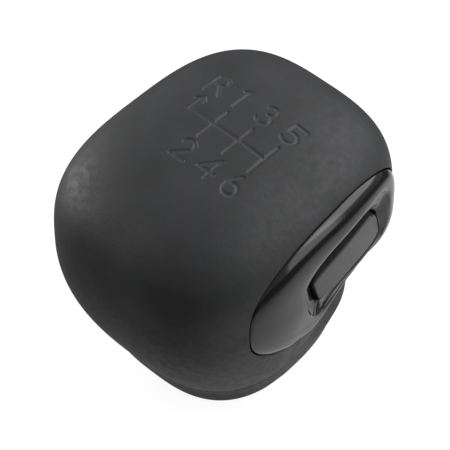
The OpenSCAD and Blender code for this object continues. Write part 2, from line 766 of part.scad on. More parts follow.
module bezel_screw(i) {
    p = bezel_boss_places[i];
    color("#c8b36a") translate([guide_front_x - guide_wall - seat_gap, p[0], p[1]])
        rotate([0, 90, 0])
        screw(bezel_screw_d, p[2] - free_gap, bezel_head_r, bezel_head_t, drive_r * 0.75);
}

grip_skin();
core_upper();
core_lower();
side_bezel();
release_button();
button_guide();
button_spring(0);  // button_spring_front
button_spring(1);  // button_spring_rear
stop_buffer();
lifter();
lifter_spring();
lever_socket();
lever_bush();
lever_clip();
anti_rattle_ring();
base_plate();
base_screw(-1, -1);  // base_screw_1
base_screw(1, -1);  // base_screw_2
base_screw(1, 1);  // base_screw_3
base_screw(-1, 1);  // base_screw_4
bezel_screw(0);  // bezel_screw_front
bezel_screw(1);  // bezel_screw_rear
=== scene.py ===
import math
import bpy
import numpy as np
from mathutils import Matrix, Vector
from mathutils.geometry import delaunay_2d_cdt


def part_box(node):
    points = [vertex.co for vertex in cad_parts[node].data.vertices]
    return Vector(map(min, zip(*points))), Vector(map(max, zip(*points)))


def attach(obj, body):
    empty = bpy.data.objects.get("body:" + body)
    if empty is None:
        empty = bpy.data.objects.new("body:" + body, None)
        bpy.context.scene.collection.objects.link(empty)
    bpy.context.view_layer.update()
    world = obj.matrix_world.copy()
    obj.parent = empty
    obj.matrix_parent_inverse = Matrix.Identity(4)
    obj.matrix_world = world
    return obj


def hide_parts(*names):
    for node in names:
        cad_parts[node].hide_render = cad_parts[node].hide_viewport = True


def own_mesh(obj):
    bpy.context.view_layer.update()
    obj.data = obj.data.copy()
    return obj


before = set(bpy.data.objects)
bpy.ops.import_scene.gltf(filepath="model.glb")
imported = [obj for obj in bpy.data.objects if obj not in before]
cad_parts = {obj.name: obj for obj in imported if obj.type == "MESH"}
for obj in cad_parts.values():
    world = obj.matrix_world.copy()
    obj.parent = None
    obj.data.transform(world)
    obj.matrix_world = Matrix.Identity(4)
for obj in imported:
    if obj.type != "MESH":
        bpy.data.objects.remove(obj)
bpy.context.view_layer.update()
print("frame loaded, camera and light next")

mm = 0.001

# the camera stands where the photo was taken from: angles in degrees, lengths in millimetres
view = {
    "azimuth": 42.995, "elevation": 49.382, "distance": 545.45, "target": (0, 0, 27.27),
    "sensor": 36, "lens": 194.05, "shift": (0.00136, 0.0277), "clip": (0.01, 20),
}


def newObject(name, data):
    thing = bpy.data.objects.new(name, data)
    bpy.context.scene.collection.objects.link(thing)
    return thing


def addCamera():
    azimuth, elevation = math.radians(view["azimuth"]), math.radians(view["elevation"])
    back = Vector((math.sin(azimuth) * math.cos(elevation),
                   -math.cos(azimuth) * math.cos(elevation), math.sin(elevation)))
    camera = newObject("photoCamera", bpy.data.cameras.new("photoCamera"))
    camera.data.sensor_width = view["sensor"]
    camera.data.lens = view["lens"]
    camera.data.shift_x, camera.data.shift_y = view["shift"]
    camera.data.clip_start, camera.data.clip_end = view["clip"]
    camera.location = (Vector(view["target"]) + back * view["distance"]) * mm
    camera.rotation_euler = back.to_track_quat("Z", "Y").to_euler()
    bpy.context.scene.camera = camera


# metres and watts; seen from the camera the key softbox stands behind on the right, the fill on the
# left and the third on the right, so the front flank stays dark. The floor is a white sheet round
# the knob on a dark table
studio = {
    "aim": (0, 0, 0.03),
    "softboxes": {"key": {"watts": 3.75, "size": (0.9, 0.45), "place": (0.2, 0.45, 0.45)},
                  "fill": {"watts": 2.3, "size": (0.4, 0.3), "place": (-0.5, -0.14, 0.13)},
                  "side": {"watts": 0.5, "size": (0.22, 0.4), "place": (0.523, 0.19, 0.255)}},
    "worldLight": 0.25, "worldMirror": 0.12,
    "sheetColour": (0.8, 0.8, 0.8), "tableColour": (0.06, 0.06, 0.06),
    "sheetMiddle": (0.03, 0.03, 0), "sheetEdge": (0.06, 0.12),
    "sheetGlow": 1.25, "sheetShare": 0.72, "sheetMirror": 0.25, "reach": 3.0,
}
noiseSpan = (0.3, 0.7)  # most values of a noise lie between these


def addSoftbox(name, lamp):
    light = bpy.data.lights.new(name, "AREA")
    light.shape = "RECTANGLE"
    light.size, light.size_y = lamp["size"]
    light.energy = lamp["watts"]
    holder = newObject(name, light)
    holder.location = lamp["place"]
    away = Vector(lamp["place"]) - Vector(studio["aim"])
    holder.rotation_euler = away.to_track_quat("Z", "Y").to_euler()


def nodeTree(owner):
    owner.use_nodes = True
    tree = owner.node_tree
    tree.nodes.clear()
    return tree


def setInputs(tree, node, *ordered, **named):
    # inputs are given in order or by name, each as a value or as another node's output
    given = list(zip(node.inputs, ordered))
    given += [(node.inputs[name.replace("_", " ")], value) for name, value in named.items()]
    for socket, value in given:
        if isinstance(value, bpy.types.NodeSocket):
            tree.links.new(value, socket)
        elif value is not None:
            socket.default_value = value
    return node


def addNode(tree, kind, *ordered, operation=None, **named):
    node = tree.nodes.new(kind)
    if operation:
        node.operation = operation
    return setInputs(tree, node, *ordered, **named)


def addMath(tree, operation, *values):
    return addNode(tree, "ShaderNodeMath", *values, operation=operation).outputs[0]


def plus(tree, first, second):
    return addMath(tree, "ADD", first, second)


def minus(tree, first, second):
    return addMath(tree, "SUBTRACT", first, second)


def times(tree, first, second):
    return addMath(tree, "MULTIPLY", first, second)


def over(tree, first, second):
    return addMath(tree, "DIVIDE", first, second)


def addRange(tree, value, fromLow, fromHigh, low=0.0, high=1.0):
    return addNode(tree, "ShaderNodeMapRange", Value=value, From_Min=fromLow, From_Max=fromHigh,
                   To_Min=low, To_Max=high).outputs[0]


def addColours(tree, value, first, second, span=noiseSpan):
    ramp = addNode(tree, "ShaderNodeValToRGB", value)
    for stop, colour, position in zip(ramp.color_ramp.elements, (first, second), span):
        stop.color, stop.position = colour + (1,), position
    return ramp.outputs[0]


def addSeen(tree):
    # rays that see a background straight or through glass, and those that see it in a reflection
    path = addNode(tree, "ShaderNodeLightPath").outputs
    straight = addMath(tree, "MAXIMUM", path["Is Camera Ray"], path["Is Transmission Ray"])
    return straight, path["Is Glossy Ray"]


def addWorld():
    world = bpy.data.worlds.new("studioWorld")
    bpy.context.scene.world = world
    tree = nodeTree(world)
    soft = addNode(tree, "ShaderNodeBackground", (1, 1, 1, 1), studio["worldLight"])
    white = addNode(tree, "ShaderNodeBackground", (1, 1, 1, 1))
    # white behind the knob, and a share of it in reflections
    seen, mirrored = addSeen(tree)
    share = addMath(tree, "MAXIMUM", seen, times(tree, mirrored, studio["worldMirror"]))
    both = addNode(tree, "ShaderNodeMixShader", share, soft.outputs[0], white.outputs[0])
    addNode(tree, "ShaderNodeOutputWorld", both.outputs[0])


def addFloor():
    whiteSheet = bpy.data.materials.new("whiteSheet")
    tree = nodeTree(whiteSheet)
    place = addNode(tree, "ShaderNodeTexCoord").outputs["Object"]
    away = addNode(tree, "ShaderNodeVectorMath", place, studio["sheetMiddle"], operation="DISTANCE")
    # 0 on the sheet, 1 on the table round it
    outside = addRange(tree, away.outputs["Value"], *studio["sheetEdge"])
    colour = addColours(tree, outside, studio["sheetColour"], studio["tableColour"], (0, 1))
    paper = addNode(tree, "ShaderNodeBsdfDiffuse", colour)
    glow = addNode(tree, "ShaderNodeEmission", Strength=studio["sheetGlow"])
    # rays that see the background get white: nearly all on the sheet, which keeps the shadow
    seen, mirrored = addSeen(tree)
    onSheet = times(tree, times(tree, mirrored, minus(tree, 1.0, outside)), studio["sheetMirror"])
    share = addMath(tree, "MAXIMUM", times(tree, seen, studio["sheetShare"]), onSheet)
    onTable = times(tree, times(tree, seen, outside), 1 - studio["sheetShare"])
    both = addNode(tree, "ShaderNodeMixShader", plus(tree, share, onTable), paper.outputs[0],
                   glow.outputs[0])
    addNode(tree, "ShaderNodeOutputMaterial", both.outputs[0])
    mesh = bpy.data.meshes.new("floor")
    r = studio["reach"]
    mesh.from_pydata([(-r, -r, 0), (r, -r, 0), (r, r, 0), (-r, r, 0)], [], [(0, 1, 2, 3)])
    mesh.materials.append(whiteSheet)
    floor = newObject("floor", mesh)


addCamera()
addWorld()
addFloor()
for name, lamp in studio["softboxes"].items():
    addSoftbox(name + "Softbox", lamp)
bpy.context.scene.view_settings.view_transform = "Standard"
print("camera and studio done, the skin next")

# the body in millimetres, as the solids have it; squares and powers shape its rings and profiles
body = {
    "width": 60, "length": 72.7, "height": 61.8, "widest": 35.7, "crease": 6.9,
    "neckWidth": 48.4, "neckLength": 51.6, "neckTaper": 0.93, "neckSquare": 2.78,
    "planSquare": 3.1, "crownSquare": 2.4, "shoulderSquare": 2.74, "topSquare": 3.4,
    "flankPower": 0.77, "hem": 0.5, "skin": 1.4,
}
# the +X side sinks under the bezel; each run is the way over which it fades
relief = {
    "depth": 4.2, "stepY": -11, "stepRun": 5, "stepShare": 0.12, "frontY": -5, "frontRun": 20,
    "rearY": 31, "rearRun": 12, "footUp": 0.5, "footRun": 5, "neckShare": 0.25,
    "topZ": 34.0, "topRun": 16,
}
neckBead = {"proud": 0.3, "start": 2.1, "startRun": 1.3, "end": 0.6, "endRun": 0.5}
# the skin's mesh: points on its rings, its step, guard rings round the opening and rolled edges
skin = {
    "sides": 360, "openingPoints": 360, "step": 0.66, "innerStep": 2.4, "lastLevel": 2.995,
    "cornerAngle": 0.78, "guardRings": (0.45, 1.0), "guardEnd": 1.45, "innerGuard": 0.6,
    "sideFrom": 5, "heart": (0, 0, 25), "roll": 0.5, "rollAngles": (20, 40, 60, 80, 90),
    "hemUp": 0.4, "hemPath": ((0.22, 0.04), (0.09, 0.14), (0.02, 0.3), (0, 0.5), (0, 0.9),
                              (0.02, 1.1), (0.09, 1.26), (0.22, 1.36)),
    "stretchPoints": 720, "stretchFar": 60.0, "stretchChunk": 20000,
}
halfWidth, halfLength = body["width"] / 2, body["length"] / 2
crease, widest = body["crease"], body["widest"]
crownHeight = body["height"] - widest


def mix(a, b, f):
    return a + (b - a) * f


def ease(v):
    c = np.clip(v, 0, 1)
    return c * c * (3 - 2 * c)


def fade(v, start, run):
    return ease((v - start) / run)


def signedPower(v, e):
    return np.sign(v) * np.abs(v) ** e


def squareOfRing(r):
    # squareness of the crown's ring of relative size r
    return mix(body["crownSquare"], body["planSquare"], r)


def levelAt(q, inset):
    # height, half width, half length and squareness; q runs 0..1 up the neck, 1..2 up the flank,
    # 2..3 over the crown
    q = np.asarray(q, float)
    neckScale = mix(body["neckTaper"], 1, np.clip(q, 0, 1))
    w = np.sin(np.pi / 2 * np.clip(q - 1, 0, 1)) ** body["flankPower"]
    p = np.pi / 2 * np.clip(q - 2, 0, 1)
    r = np.clip(np.cos(p), 0, 1) ** (2 / body["shoulderSquare"])

    def pick(neck, flank, crown):
        return np.where(q < 1, neck, np.where(q < 2, flank, crown))

    def half(neckSize, size):
        return pick(neckSize / 2 * neckScale - inset, mix(neckSize, size, w) / 2 - inset,
                    (size / 2 - inset) * r)

    rise = (crownHeight - inset) * np.sin(p) ** (2 / body["topSquare"])
    return (pick(crease * q, mix(crease, widest, q - 1), widest + rise),
            half(body["neckWidth"], body["width"]), half(body["neckLength"], body["length"]),
            pick(body["neckSquare"], mix(body["neckSquare"], body["planSquare"], w),
                 squareOfRing(r)))


def reliefDepth(y, z):
    front = mix(fade(y, relief["frontY"], relief["frontRun"]),
                fade(y, relief["stepY"], relief["stepRun"]), relief["stepShare"])
    foot = mix(relief["neckShare"], 1, fade(z - crease, relief["footUp"], relief["footRun"]))
    rear = ease((relief["rearY"] - y) / relief["rearRun"])
    return relief["depth"] * front * foot * rear * ease((relief["topZ"] - z) / relief["topRun"])


def beadHeight(z):
    # the neck's upper edge stands a little proud below the crease
    return neckBead["proud"] * fade(z - crease, -neckBead["start"], neckBead["startRun"]) \
        * (1 - fade(z - crease, -neckBead["end"], neckBead["endRun"]))


def skinPoint(q, t, inset=0.0):
    # the place at a level and an angle round it
    z, halfW, halfL, square = levelAt(q, inset)
    c, s = signedPower(np.cos(t), 2 / square), signedPower(np.sin(t), 2 / square)
    x, y = halfW * c, halfL * s
    if inset == 0:
        bead = beadHeight(z)
        x, y = x * (1 + bead / halfW), y * (1 + bead / halfL)
    outerZ, _, outerHalfL, _ = levelAt(q, 0)
    x = x - np.where(c > 0, reliefDepth(outerHalfL * s, outerZ), 0)
    return np.stack([x, y, z + 0 * x], -1)


def levelOfHeight(z):
    z = np.asarray(z, float)
    s = np.clip((z - widest) / crownHeight, 0, 1)
    high = 2 + np.arcsin(s ** (body["topSquare"] / 2)) / (np.pi / 2)
    low = 1 + (z - crease) / (widest - crease)
    return np.where(z < crease, z / crease, np.where(z < widest, low, high))


def sideSection(z, inset):
    # half width, half length and squareness of the body at a height
    _, halfW, halfL, square = levelAt(np.minimum(levelOfHeight(z), 2), inset)
    up = np.clip((z - widest) / (crownHeight - inset), 0, 1)
    r = np.clip(1 - up ** body["topSquare"], 1e-9, 1) ** (1 / body["shoulderSquare"])
    above = z > widest
    return (np.where(above, (halfWidth - inset) * r, halfW),
            np.where(above, (halfLength - inset) * r, halfL),
            np.where(above, squareOfRing(r), square))


def sideX(y, z, inset=0.0):
    # outer x of the body's +X side
    halfW, halfL, square = sideSection(z, inset)
    flat = halfW * np.clip(1 - (np.abs(y) / halfL) ** square, 0, 1) ** (1 / square)
    return flat - reliefDepth(y, z)


def sideLevel(y, z, inset=0.0):
    # level and angle of a place on the +X side
    _, halfL, square = sideSection(z, inset)
    s = np.clip((np.abs(y) / halfL) ** (square / 2), 0, 1)
    return levelOfHeight(z), np.sign(y) * np.arcsin(s)


def crownLevel(x, y):
    # level and angle of a place on the crown seen from above, its ring found by halving
    low, high = np.full(x.shape, 1e-5), np.ones(x.shape)
    for _ in range(36):
        r = (low + high) / 2
        n = squareOfRing(r)
        out = (np.abs(x) / (halfWidth * r)) ** n + (np.abs(y) / (halfLength * r)) ** n > 1
        low, high = np.where(out, r, low), np.where(out, high, r)
    r = (low + high) / 2
    n = squareOfRing(r)
    t = np.arctan2(signedPower(y / (halfLength * r), n / 2),
                   signedPower(x / (halfWidth * r), n / 2))
    return 2 + np.arccos(np.clip(r ** (body["shoulderSquare"] / 2), 0, 1)) / (np.pi / 2), t


def runAlong(points):
    # the way along a row of points from the first to each
    return np.concatenate([[0], np.cumsum(np.linalg.norm(np.diff(points, axis=0), axis=1))])


def runUp(levels):
    # the way up one corner of the skin to each level
    return runAlong(skinPoint(levels, np.full(levels.shape, skin["cornerAngle"])))


def unrolled(q, t):
    # a flat map of the skin, the crown's middle at its centre, in about millimetres
    levels = np.linspace(0, 3, 6000)
    run = runUp(levels)
    g = np.interp(q, levels, run[-1] - run) / np.interp(2, levels, run[-1] - run)
    e = 2 / body["planSquare"]
    return np.stack([g * halfWidth * signedPower(np.cos(t), e),
                     g * halfLength * signedPower(np.sin(t), e)], -1)


# outlines on the +X side are front y, rear y, low z front and rear, high z front and rear,
# squareness front and rear, lean, and lean of the front end alone. The heights of the cup and the
# button are shares of the bezel's
bezel = {
    "front": -21.5, "rear": 30, "drop": 14.5, "rise": 0.717, "lowFall": 0.078,
    "highFall": 0.115, "square": (2.9, 2.4), "gap": 0.25, "flange": 1.5,
}
cup = {
    "frontIn": 15.8, "rearIn": 5.2, "low": (0.012, 0.035), "high": (0.65, 0.83),
    "square": (3.1, 3.5), "frontLean": 0.3,
}
button = {
    "front": 0.6, "rear": 23.4, "low": (0.079, 0.205), "high": (0.35, 0.558),
    "square": (10, 4.5), "rake": 0.3, "gap": 0.25, "faceX": 26.4, "faceLean": -2,
    "crownR": 160, "crownY": 6, "capT": 3.93, "skirtT": 1.4, "skirtLength": 2.751,
    "points": 240, "edge": 0.42, "edgeAngles": (0, 15, 30, 45, 60, 75, 90),
    "faceShares": (0.97, 0.9, 0.8, 0.7, 0.6, 0.5, 0.4, 0.3, 0.2, 0.1, 0.03),
    "insideShares": (0.05, 0.5, 1.0),
}
bezelLow = widest - bezel["drop"]
bezelHigh = widest + bezel["rise"] * crownHeight
bezelHeight = bezelHigh - bezelLow


def upBezel(*shares):
    return tuple(bezelLow + share * bezelHeight for share in shares)


bezelEdge = (bezel["front"], bezel["rear"],
             *upBezel(0, -bezel["lowFall"], 1 - bezel["highFall"], 1), *bezel["square"], 0, 0)
cupEdge = (bezel["front"] + cup["frontIn"], bezel["rear"] - cup["rearIn"],
           *upBezel(*cup["low"], *cup["high"]), *cup["square"], 0, cup["frontLean"])
buttonEdge = (button["front"], button["rear"], *upBezel(*button["low"], *button["high"]),
              *button["square"], button["rake"], 0)


def ringAngles(count, evenness=1.35):
    # angles that space points about evenly round a squarish ring
    quarter, u = np.divmod(np.arange(count) / (count / 4), 1)
    return np.pi / 2 * (quarter + u ** evenness / (u ** evenness + (1 - u) ** evenness))


def lowHigh(edge, f):
    # an outline's lower and upper z at a share of its length
    return mix(edge[2], edge[3], f), mix(edge[4], edge[5], f)


def outline(edge, t):
    # y and z of an outline at angles round it
    front, rear, squareFront, squareRear, lean, frontLean = edge[:2] + edge[6:]
    square = np.where(np.cos(t) < 0, squareFront, squareRear)
    y = (front + rear) / 2 + (rear - front) / 2 * signedPower(np.cos(t), 2 / square)
    f = (y - front) / (rear - front)
    low, high = lowHigh(edge, f)
    z = (low + high) / 2 + (high - low) / 2 * signedPower(np.sin(t), 2 / square)
    y = y - frontLean * (1 - f) * (z - (low + high) / 2)
    return y - lean * (z - sum(edge[2:6]) / 4), z


def insideOutline(y, z, edge):
    # for outlines without lean
    front, rear, squareFront, squareRear = edge[:2] + edge[6:8]
    low, high = lowHigh(edge, np.clip((y - front) / (rear - front), 0, 1))
    square = np.where(y < (front + rear) / 2, squareFront, squareRear)
    return np.abs((y - (front + rear) / 2) / ((rear - front) / 2)) ** square \
        + np.abs((z - (low + high) / 2) / ((high - low) / 2)) ** square < 1


def grown(edge, d):
    return tuple(v + d * sign for v, sign in zip(edge, (-1, 1, -1, -1, 1, 1))) + edge[6:]


def between(a, b, f):
    return tuple(mix(u, v, f) for u, v in zip(a, b))


def makeObject(name, points, faces):
    # a closed shell in millimetres; its faces are turned outwards by its volume
    points = np.asarray(points, float)
    faces = [tuple(int(i) for i in f) for f in faces]
    volume = sum(points[f[0]] @ np.cross(points[f[k]], points[f[k + 1]]) for f in faces
                 for k in range(1, len(f) - 1))
    if volume < 0:
        faces = [f[::-1] for f in faces]
    mesh = bpy.data.meshes.new(name)
    mesh.from_pydata((points * mm).tolist(), [], faces)
    mesh.validate()
    mesh.update()
    mesh.polygons.foreach_set("use_smooth", [True] * len(mesh.polygons))
    return newObject(name, mesh)


def ringFaces(a, b, count):
    # quads between two rings of equal count that start at vertices a and b
    return [(a + i, a + (i + 1) % count, b + (i + 1) % count, b + i) for i in range(count)]


def loopFaces(rings, count, gapAfter=None):
    # quads along a closed row of rings, with a gap after one of them if it is named
    return [f for k in range(rings) if k != gapAfter
            for f in ringFaces(k * count, (k + 1) % rings * count, count)]


# the debossed gate pattern, in millimetres from the crown's middle; nudge keeps its grid off the
# places where a ring's rule has no slope
pattern = {
    "width": 0.86, "depth": 0.3, "slope": 0.34, "step": 0.165, "nudge": (1.7e-3, 2.3e-3),
    "box": (-13.9, 14.0, -13.4, 14.2), "columns": (-10.78, -3.48, 3.82, 11.11),
    "bar": 0.45, "top": 4.86, "bottom": -4.42, "arrowTop": 5.2, "arrowWing": 1.25,
}


def arc(cx, cy, rx, ry, start, end, steps=14):
    angles = [math.radians(mix(start, end, i / steps)) for i in range(steps + 1)]
    return [(cx + rx * math.cos(a), cy + ry * math.sin(a)) for a in angles]


def patternStrokes():
    reverse, first, third, fifth = pattern["columns"]
    bar, tip, wing = pattern["bar"], pattern["arrowTop"], pattern["arrowWing"]
    gate = [[(x, pattern["top"]), (x, pattern["bottom"])] for x in (first, third, fifth)]
    gate += [[(reverse, bar), (fifth, bar)], [(reverse, bar), (reverse, tip)],
             [(reverse - wing, tip - wing), (reverse, tip), (reverse + wing, tip - wing)]]
    return gate + [
        # R
        [(-12.65, 7.1), (-12.65, 12.9), (-11.2, 12.9)] + arc(-11.0, 11.5, 1.6, 1.4, 90, -90)
        + [(-12.65, 10.1)],
        [(-10.6, 9.95), (-8.6, 7.2)],
        # 1, 3 and 5
        [(-5.25, 12.35), (-4.0, 13.05), (-4.0, 7.2)],
        arc(3.2, 11.7, 1.5, 1.3, 155, -90) + arc(3.3, 8.85, 1.8, 1.55, 90, -155),
        [(12.6, 12.75), (9.65, 12.75), (9.5, 10.2)] + arc(10.75, 8.85, 1.9, 1.6, 118, -148),
        # 2, 4 and 6
        arc(-3.2, -7.85, 1.65, 1.6, 165, -28) + [(-4.95, -11.8), (-1.1, -11.8)],
        [(5.4, -12.1), (5.4, -6.3), (2.1, -10.35), (6.5, -10.35)],
        [(11.35, -6.4), (10.25, -7.9), (9.7, -9.6), (9.7, -10.5)],
        arc(11.33, -10.5, 1.63, 1.6, 0, 360, 28)]


def grooveDepth(x, y):
    # depth of the debossed strokes at places seen from above
    nearest = np.full(x.shape, 99.0)
    for stroke in patternStrokes():
        for (ax, ay), (bx, by) in zip(stroke, stroke[1:]):
            dx, dy = bx - ax, by - ay
            f = np.clip(((x - ax) * dx + (y - ay) * dy) / max(dx * dx + dy * dy, 1e-9), 0, 1)
            nearest = np.minimum(nearest, np.hypot(x - ax - f * dx, y - ay - f * dy))
    edge = pattern["width"] / 2 + pattern["slope"] / 2
    return pattern["depth"] * ease((edge - nearest) / pattern["slope"])


def flankSteps(fromQ, step):
    # levels whose rings lie about one step apart along a corner
    q = np.linspace(fromQ, skin["lastLevel"], 4000)
    run = runUp(q)
    return np.interp(np.arange(step, run[-1] - step / 2, step), run, q)


def bodyRings(inset, step, hemQ):
    # staggered rings of points all over one face of the skin, and the crown's middle
    levels, angles = [], []
    for i, q in enumerate(flankSteps(hemQ, step)):
        _, halfW, halfL, _ = levelAt(q, inset)
        count = int(max(8, 4 * round(math.pi * (halfW + halfL) / step / 4)))
        levels.append(np.full(count, q))
        angles.append(ringAngles(count) + (i % 2) * math.pi / count)
    return np.concatenate(levels + [[3.0]]), np.concatenate(angles + [[0.0]])


def patternGrid():
    x0, x1, y0, y1 = pattern["box"]
    x, y = np.meshgrid(np.arange(x0, x1, pattern["step"]), np.arange(y0, y1, pattern["step"]))
    nudgeX, nudgeY = pattern["nudge"]
    return crownLevel(x.ravel() + nudgeX, y.ravel() + nudgeY)


def inPatternBox(place, margin):
    x0, x1, y0, y1 = pattern["box"]
    x, y, z = place.T
    return (z > widest) & (x > x0 - margin) & (x < x1 + margin) \
        & (y > y0 - margin) & (y < y1 + margin)


def skinSheet(inset, step, withPattern, openingEdge, hemQ):
    # one face of the skin: the hem's points come first, then the opening's
    h, n = skin["sides"], skin["openingPoints"]

    def openingRing(d):
        return sideLevel(*outline(grown(openingEdge, d), ringAngles(n)), inset)

    groups = [(np.full(h, hemQ), ringAngles(h)), openingRing(0)]
    if withPattern:
        groups += [openingRing(d) for d in skin["guardRings"]]
    q, t = bodyRings(inset, step, hemQ)
    place = skinPoint(q, t, inset)
    clear = grown(openingEdge, skin["guardEnd"] if withPattern else step * skin["innerGuard"])
    keep = ~((place[:, 0] > skin["sideFrom"]) & insideOutline(place[:, 1], place[:, 2], clear))
    if withPattern:
        keep &= ~inPatternBox(place, step / 2)
        groups.append(patternGrid())
    groups.append((q[keep], t[keep]))
    q, t = (np.concatenate(parts) for parts in zip(*groups))
    place = skinPoint(q, t, inset)
    flat = [Vector((float(a), float(b))) for a, b in unrolled(q, t)]
    edges = [(i, (i + 1) % h) for i in range(h)] + [(h + i, h + (i + 1) % n) for i in range(n)]
    result = delaunay_2d_cdt(flat, edges, [], 0, 1e-6)
    assert len(result[0]) == len(q), "the triangulation moved points"
    faces = np.array([tuple(f) for f in result[2]])
    # faces that lie in the opening go
    middle = place[faces].mean(axis=1)
    hole = (middle[:, 0] > skin["sideFrom"]) \
        & insideOutline(middle[:, 1], middle[:, 2], openingEdge)
    ringOnly = np.all((faces >= h) & (faces < h + n), axis=1)
    return place, faces[~(hole | ringOnly)]


def outwardNormals(points, faces):
    a, b, c = points[faces[:, 0]], points[faces[:, 1]], points[faces[:, 2]]
    faceNormal = np.cross(b - a, c - a)
    normal = np.zeros_like(points)
    for k in range(3):
        np.add.at(normal, faces[:, k], faceNormal)
    normal /= np.linalg.norm(normal, axis=1)[:, None] + 1e-12
    return normal * np.sign(normal[np.argmax(points[:, 2])][2])


def turnedFaces(points, faces, sign):
    # faces as tuples that look away from the body's heart, or towards it for a negative sign
    a, b, c = points[faces[0]]
    side = np.cross(b - a, c - a) @ ((a + b + c) / 3 - np.array(skin["heart"]))
    return [tuple(f) for f in (faces if side * sign > 0 else faces[:, ::-1])]


def hemRing(up, inward):
    q, t = np.full(skin["sides"], levelOfHeight(body["hem"] + up)), ringAngles(skin["sides"])
    outer, moved = skinPoint(q, t), skinPoint(q, t, inward)
    return np.stack([moved[:, 0], moved[:, 1], outer[:, 2]], -1)


def addStretch(piece, points):
    # how far each vertex is round the bezel and away from it, for the stretch lines
    angles = np.linspace(0, 2 * np.pi, skin["stretchPoints"], endpoint=False)
    y, z = outline(grown(bezelEdge, bezel["gap"]), angles)
    run = runAlong(np.stack([y, z], -1))
    along, away = np.zeros(len(points)), np.full(len(points), skin["stretchFar"])
    index = np.nonzero(points[:, 0] > 0)[0]
    for chunk in np.array_split(index, max(1, len(index) // skin["stretchChunk"])):
        d = np.hypot(points[chunk, 1][:, None] - y[None], points[chunk, 2][:, None] - z[None])
        k = d.argmin(axis=1)
        along[chunk], away[chunk] = run[k], d[np.arange(len(chunk)), k]
    stretch = np.stack([along, away, 0 * along], -1).astype(np.float32)
    attribute = piece.data.attributes.new("stretch", "FLOAT_VECTOR", "POINT")
    attribute.data.foreach_set("vector", stretch.ravel())


# round the bezel the shading follows the rule of the surface: how far, and where it fades out
ruled = {
    "middleY": 3, "reachY": 22, "fadeY": 6, "lowZ": 10, "highZ": 50, "fadeZ": 4,
    "slopeStep": 0.05, "offRule": 0.02,
}


def sideNormals(points, outer, meshNormal):
    # a zero leaves the mesh's own normal
    x, y, z = outer.T
    e = ruled["slopeStep"]
    slopeY = (sideX(y + e, z) - sideX(y - e, z)) / (2 * e)
    slopeZ = (sideX(y, z + e) - sideX(y, z - e)) / (2 * e)
    rule = np.stack([np.ones(len(outer)), -slopeY, -slopeZ], -1)
    rule /= np.linalg.norm(rule, axis=1)[:, None]
    follows = (x > skin["sideFrom"]) & (np.abs(x - sideX(y, z)) < ruled["offRule"]) \
        & np.isfinite(rule).all(axis=1)
    share = ease((ruled["reachY"] - np.abs(y - ruled["middleY"])) / ruled["fadeY"] + 1) \
        * fade(z, ruled["lowZ"], ruled["fadeZ"]) * ease((ruled["highZ"] - z) / ruled["fadeZ"])
    share = np.where(follows, share, 0)[:, None]
    mixed = mix(meshNormal, np.where(np.isfinite(rule), rule, 0), share)
    normals = np.zeros_like(points)
    normals[:len(outer)] = np.where(share > 0, mixed / np.linalg.norm(mixed, axis=1)[:, None], 0)
    return normals


def makeGripSkin():
    n, h, roll, gap = skin["openingPoints"], skin["sides"], skin["roll"], bezel["gap"]
    hemQ = float(levelOfHeight(body["hem"] + skin["hemUp"]))
    outer, outerFaces = skinSheet(0.0, skin["step"], True, grown(bezelEdge, gap + roll), hemQ)
    normal = outwardNormals(outer, outerFaces)
    inBox = inPatternBox(outer, 0)
    depth = np.zeros(len(outer))
    depth[inBox] = grooveDepth(outer[inBox, 0], outer[inBox, 1])
    outer = outer - normal * depth[:, None]
    inner, innerFaces = skinSheet(body["skin"], skin["innerStep"], False,
                                  grown(bezelEdge, gap), hemQ)
    innerStart = len(outer)
    points = [outer, inner]
    faces = turnedFaces(outer, outerFaces, 1)
    faces += [tuple(i + innerStart for i in f) for f in turnedFaces(inner, innerFaces, -1)]
    count = innerStart + len(inner)

    def addRings(rings, start, end, size, flip):
        nonlocal count
        last = start
        for ring in rings:
            points.append(ring)
            faces.extend(f[::-1] if flip else f for f in ringFaces(last, count, size))
            last = count
            count += size
        faces.extend(f[::-1] if flip else f for f in ringFaces(last, end, size))

    # the edge rolls in at the opening
    rings = []
    for angle in skin["rollAngles"]:
        s, c = math.sin(math.radians(angle)), math.cos(math.radians(angle))
        y, z = outline(grown(bezelEdge, gap + roll * (1 - s)), ringAngles(n))
        rings.append(np.stack([skinPoint(*sideLevel(y, z))[:, 0] - roll * (1 - c), y, z], -1))
    addRings(rings, h, innerStart + h, n, False)
    # the hem rolls in at the neck's mouth
    addRings([hemRing(up, inward) for up, inward in skin["hemPath"]], 0, innerStart, h, True)
    points = np.concatenate(points)
    piece = makeObject("gripSkin", points, faces)
    addStretch(piece, points)
    pressed = np.zeros(len(points), np.float32)
    pressed[:len(depth)] = depth / pattern["depth"]
    attribute = piece.data.attributes.new("pressed", "FLOAT", "POINT")
    attribute.data.foreach_set("value", pressed)
    normals = sideNormals(points, outer, normal)
    piece.data.normals_split_custom_set_from_vertices(normals.tolist())
    return piece


gripSkin = makeGripSkin()
print("grip skin", len(gripSkin.data.polygons), "faces")

